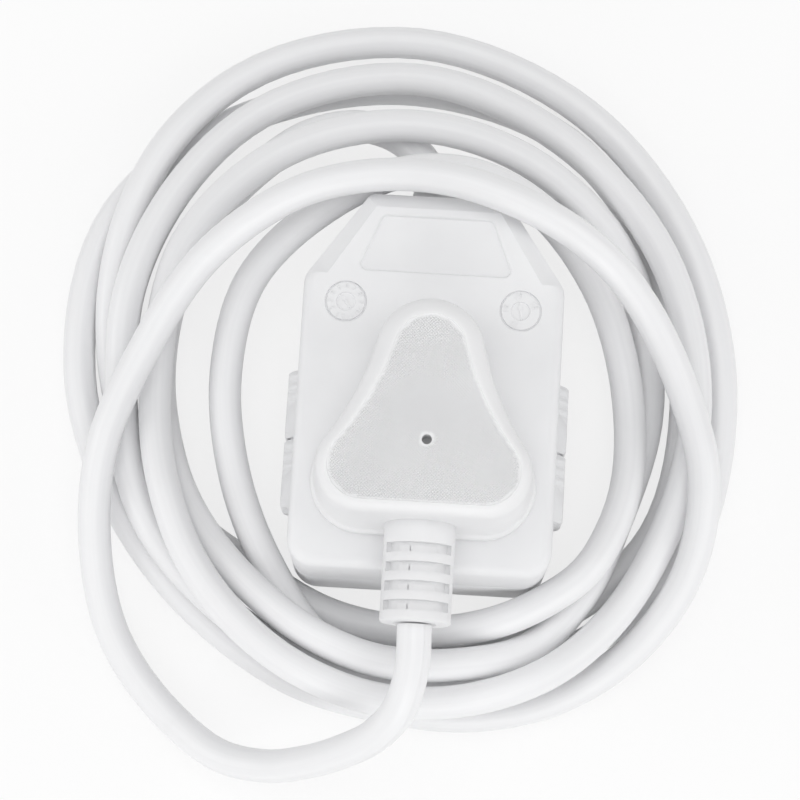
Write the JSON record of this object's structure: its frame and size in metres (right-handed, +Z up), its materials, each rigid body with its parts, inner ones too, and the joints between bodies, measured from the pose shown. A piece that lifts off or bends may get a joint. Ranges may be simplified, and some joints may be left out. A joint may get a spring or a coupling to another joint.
{
  "type": "extension cord",
  "caption": "Coiled three-core extension cord with a two-faced block coupler and a moulded three-pin plug seated in its front socket.",
  "frame": {"origin": "centre of the coupler's back face, which lies on the ground", "axes": "+Z up through the coupler's thickness, +Y along the coupler towards its cord end, +X to the live side"},
  "size_m": [0.1564, 0.18, 0.064],
  "materials": {
    "shell_white": "white moulded, slight gloss",
    "plug_white": "white moulded vinyl, slight gloss",
    "relief_white": "white flexible vinyl",
    "cord_white": "white flexible vinyl sheath",
    "shutter_white": "white moulded",
    "carrier_cream": "cream moulded",
    "contact_brass": "bright brass",
    "screw_steel": "zinc plated",
    "core_brown": "brown insulation",
    "core_blue": "blue insulation",
    "core_green": "green insulation"
  },
  "bodies": {
    "coupler": {"front_shell": "shell_white", "back_shell": "shell_white", "front_contact_carrier": "carrier_cream", "back_contact_carrier": "carrier_cream", "front_live_contact": "contact_brass", "front_neutral_contact": "contact_brass", "front_earth_contact": "contact_brass", "back_live_contact": "contact_brass", "back_neutral_contact": "contact_brass", "back_earth_contact": "contact_brass", "live_strap": "contact_brass", "neutral_strap": "contact_brass", "earth_strap": "contact_brass", "terminal_screws": "screw_steel", "front_shutter_spring": "screw_steel", "back_shutter_spring": "screw_steel", "shell_screws": "screw_steel", "cord_clamp": "carrier_cream", "clamp_screws": "screw_steel", "coupler_cord_tail": "cord_white", "coupler_live_core": "core_brown", "coupler_neutral_core": "core_blue", "coupler_earth_core": "core_green", "coupler_strain_relief": "relief_white", "cord_coupler_lead": "cord_white", "cord_coil": "cord_white", "cord_plug_lead": "cord_white"},
    "plug": {"plug_body": "plug_white", "plug_bridge": "carrier_cream", "plug_live_pin": "contact_brass", "plug_neutral_pin": "contact_brass", "plug_earth_pin": "contact_brass", "plug_crimps": "screw_steel", "plug_live_core": "core_brown", "plug_neutral_core": "core_blue", "plug_earth_core": "core_green", "plug_strain_relief": "relief_white"},
    "front_shutter": {"front_shutter": "shutter_white"},
    "back_shutter": {"back_shutter": "shutter_white"}
  },
  "joints": [
    {"name": "plug_withdraw", "type": "slide", "parent": "coupler", "child": "plug", "axis": [0, 0, 1], "range_m": [0, 0.044]},
    {"name": "front_shutter_slide", "type": "slide", "parent": "coupler", "child": "front_shutter", "axis": [0, -1, 0], "range_m": [0, 0.0132], "deforming": ["front_shutter_spring"]},
    {"name": "back_shutter_slide", "type": "slide", "parent": "coupler", "child": "back_shutter", "axis": [0, -1, 0], "range_m": [0, 0.0084], "stiffness_N_per_m": 60, "springref_m": -0.006, "deforming": ["back_shutter_spring"]}
  ],
  "couplings": [
    {"joint": "front_shutter_slide", "follows": "plug_withdraw", "ratio": 0.3}
  ]
}
